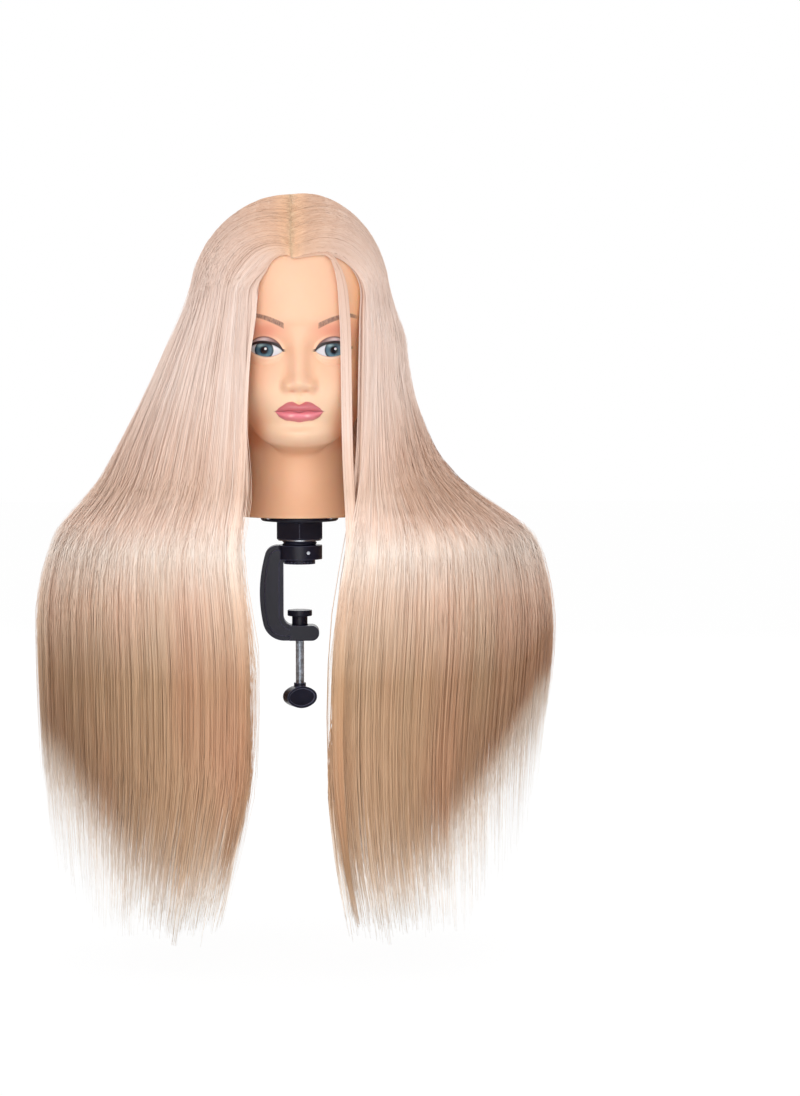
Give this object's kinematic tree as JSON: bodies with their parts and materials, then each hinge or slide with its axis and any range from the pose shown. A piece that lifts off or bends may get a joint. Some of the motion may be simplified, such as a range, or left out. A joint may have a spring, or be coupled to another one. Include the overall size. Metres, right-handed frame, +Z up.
{
  "type": "mannequin training head",
  "caption": "Life-size salon practice head with painted face and long straight blond hair, on a swivel post with a screw clamp that grips a table edge.",
  "frame": {"origin": "centre of the underside of the clamp's upper boss, where it meets the table top, on the axis of the post", "axes": "+Z up along the post and the neck, the face looks along -Y, the jaw of the clamp opens along +X"},
  "size_m": [0.4783, 0.2455, 0.675],
  "materials": {
    "vinyl_skin": "soft painted vinyl skin",
    "foam": "rigid foam filling",
    "socket_plastic": "moulded socket",
    "hair": "straight silky fibre",
    "clamp_plastic": "moulded black plastic",
    "pad_plastic": "moulded black plastic",
    "knob_plastic": "smooth black plastic",
    "zinc_steel": "zinc plated",
    "spring_steel": "bright spring steel",
    "screw_steel": "bright threaded rod"
  },
  "bodies": {
    "clamp": {"clamp_frame": "clamp_plastic", "captive_nut": "zinc_steel", "post_pin": "zinc_steel"},
    "post": {"post": "clamp_plastic"},
    "washer": {"nut_washer": "zinc_steel"},
    "lock_nut": {"lock_nut": "clamp_plastic"},
    "head": {"head_shell": "vinyl_skin", "foam_core": "foam", "neck_plug": "socket_plastic", "plug_screws": "zinc_steel", "hair_left_front": "hair", "hair_left_back": "hair", "hair_right_front": "hair", "hair_right_back": "hair", "face_lock": "hair"},
    "pad": {"swivel_pad": "pad_plastic"},
    "screw": {"clamp_screw": "screw_steel", "thumb_knob": "knob_plastic", "pad_clip": "spring_steel"}
  },
  "joints": [
    {"name": "head_swivel", "type": "hinge", "parent": "clamp", "child": "post", "pos_m": [0, 0, 0.04], "axis": [0, 0, 1], "continuous": true},
    {"name": "head_lift", "type": "slide", "parent": "post", "child": "head", "axis": [0, 0, 1], "range_m": [0, 0.078]},
    {"name": "nut_travel", "type": "slide", "parent": "post", "child": "washer", "axis": [0, 0, 1], "range_m": [-0.0043, 0]},
    {"name": "nut_turn", "type": "hinge", "parent": "washer", "child": "lock_nut", "pos_m": [0, 0, 0.03], "axis": [0, 0, 1], "range_deg": [-504, 0]},
    {"name": "pad_travel", "type": "slide", "parent": "clamp", "child": "pad", "axis": [0, 0, 1], "range_m": [0, 0.0391]},
    {"name": "screw_turn", "type": "hinge", "parent": "pad", "child": "screw", "pos_m": [0, 0, -0.09], "axis": [0, 0, 1], "range_deg": [0, 11232]}
  ],
  "couplings": [
    {"joint": "nut_travel", "follows": "nut_turn", "m_per_rad": 0.00047746},
    {"joint": "pad_travel", "follows": "screw_turn", "m_per_rad": 0.00019894}
  ]
}
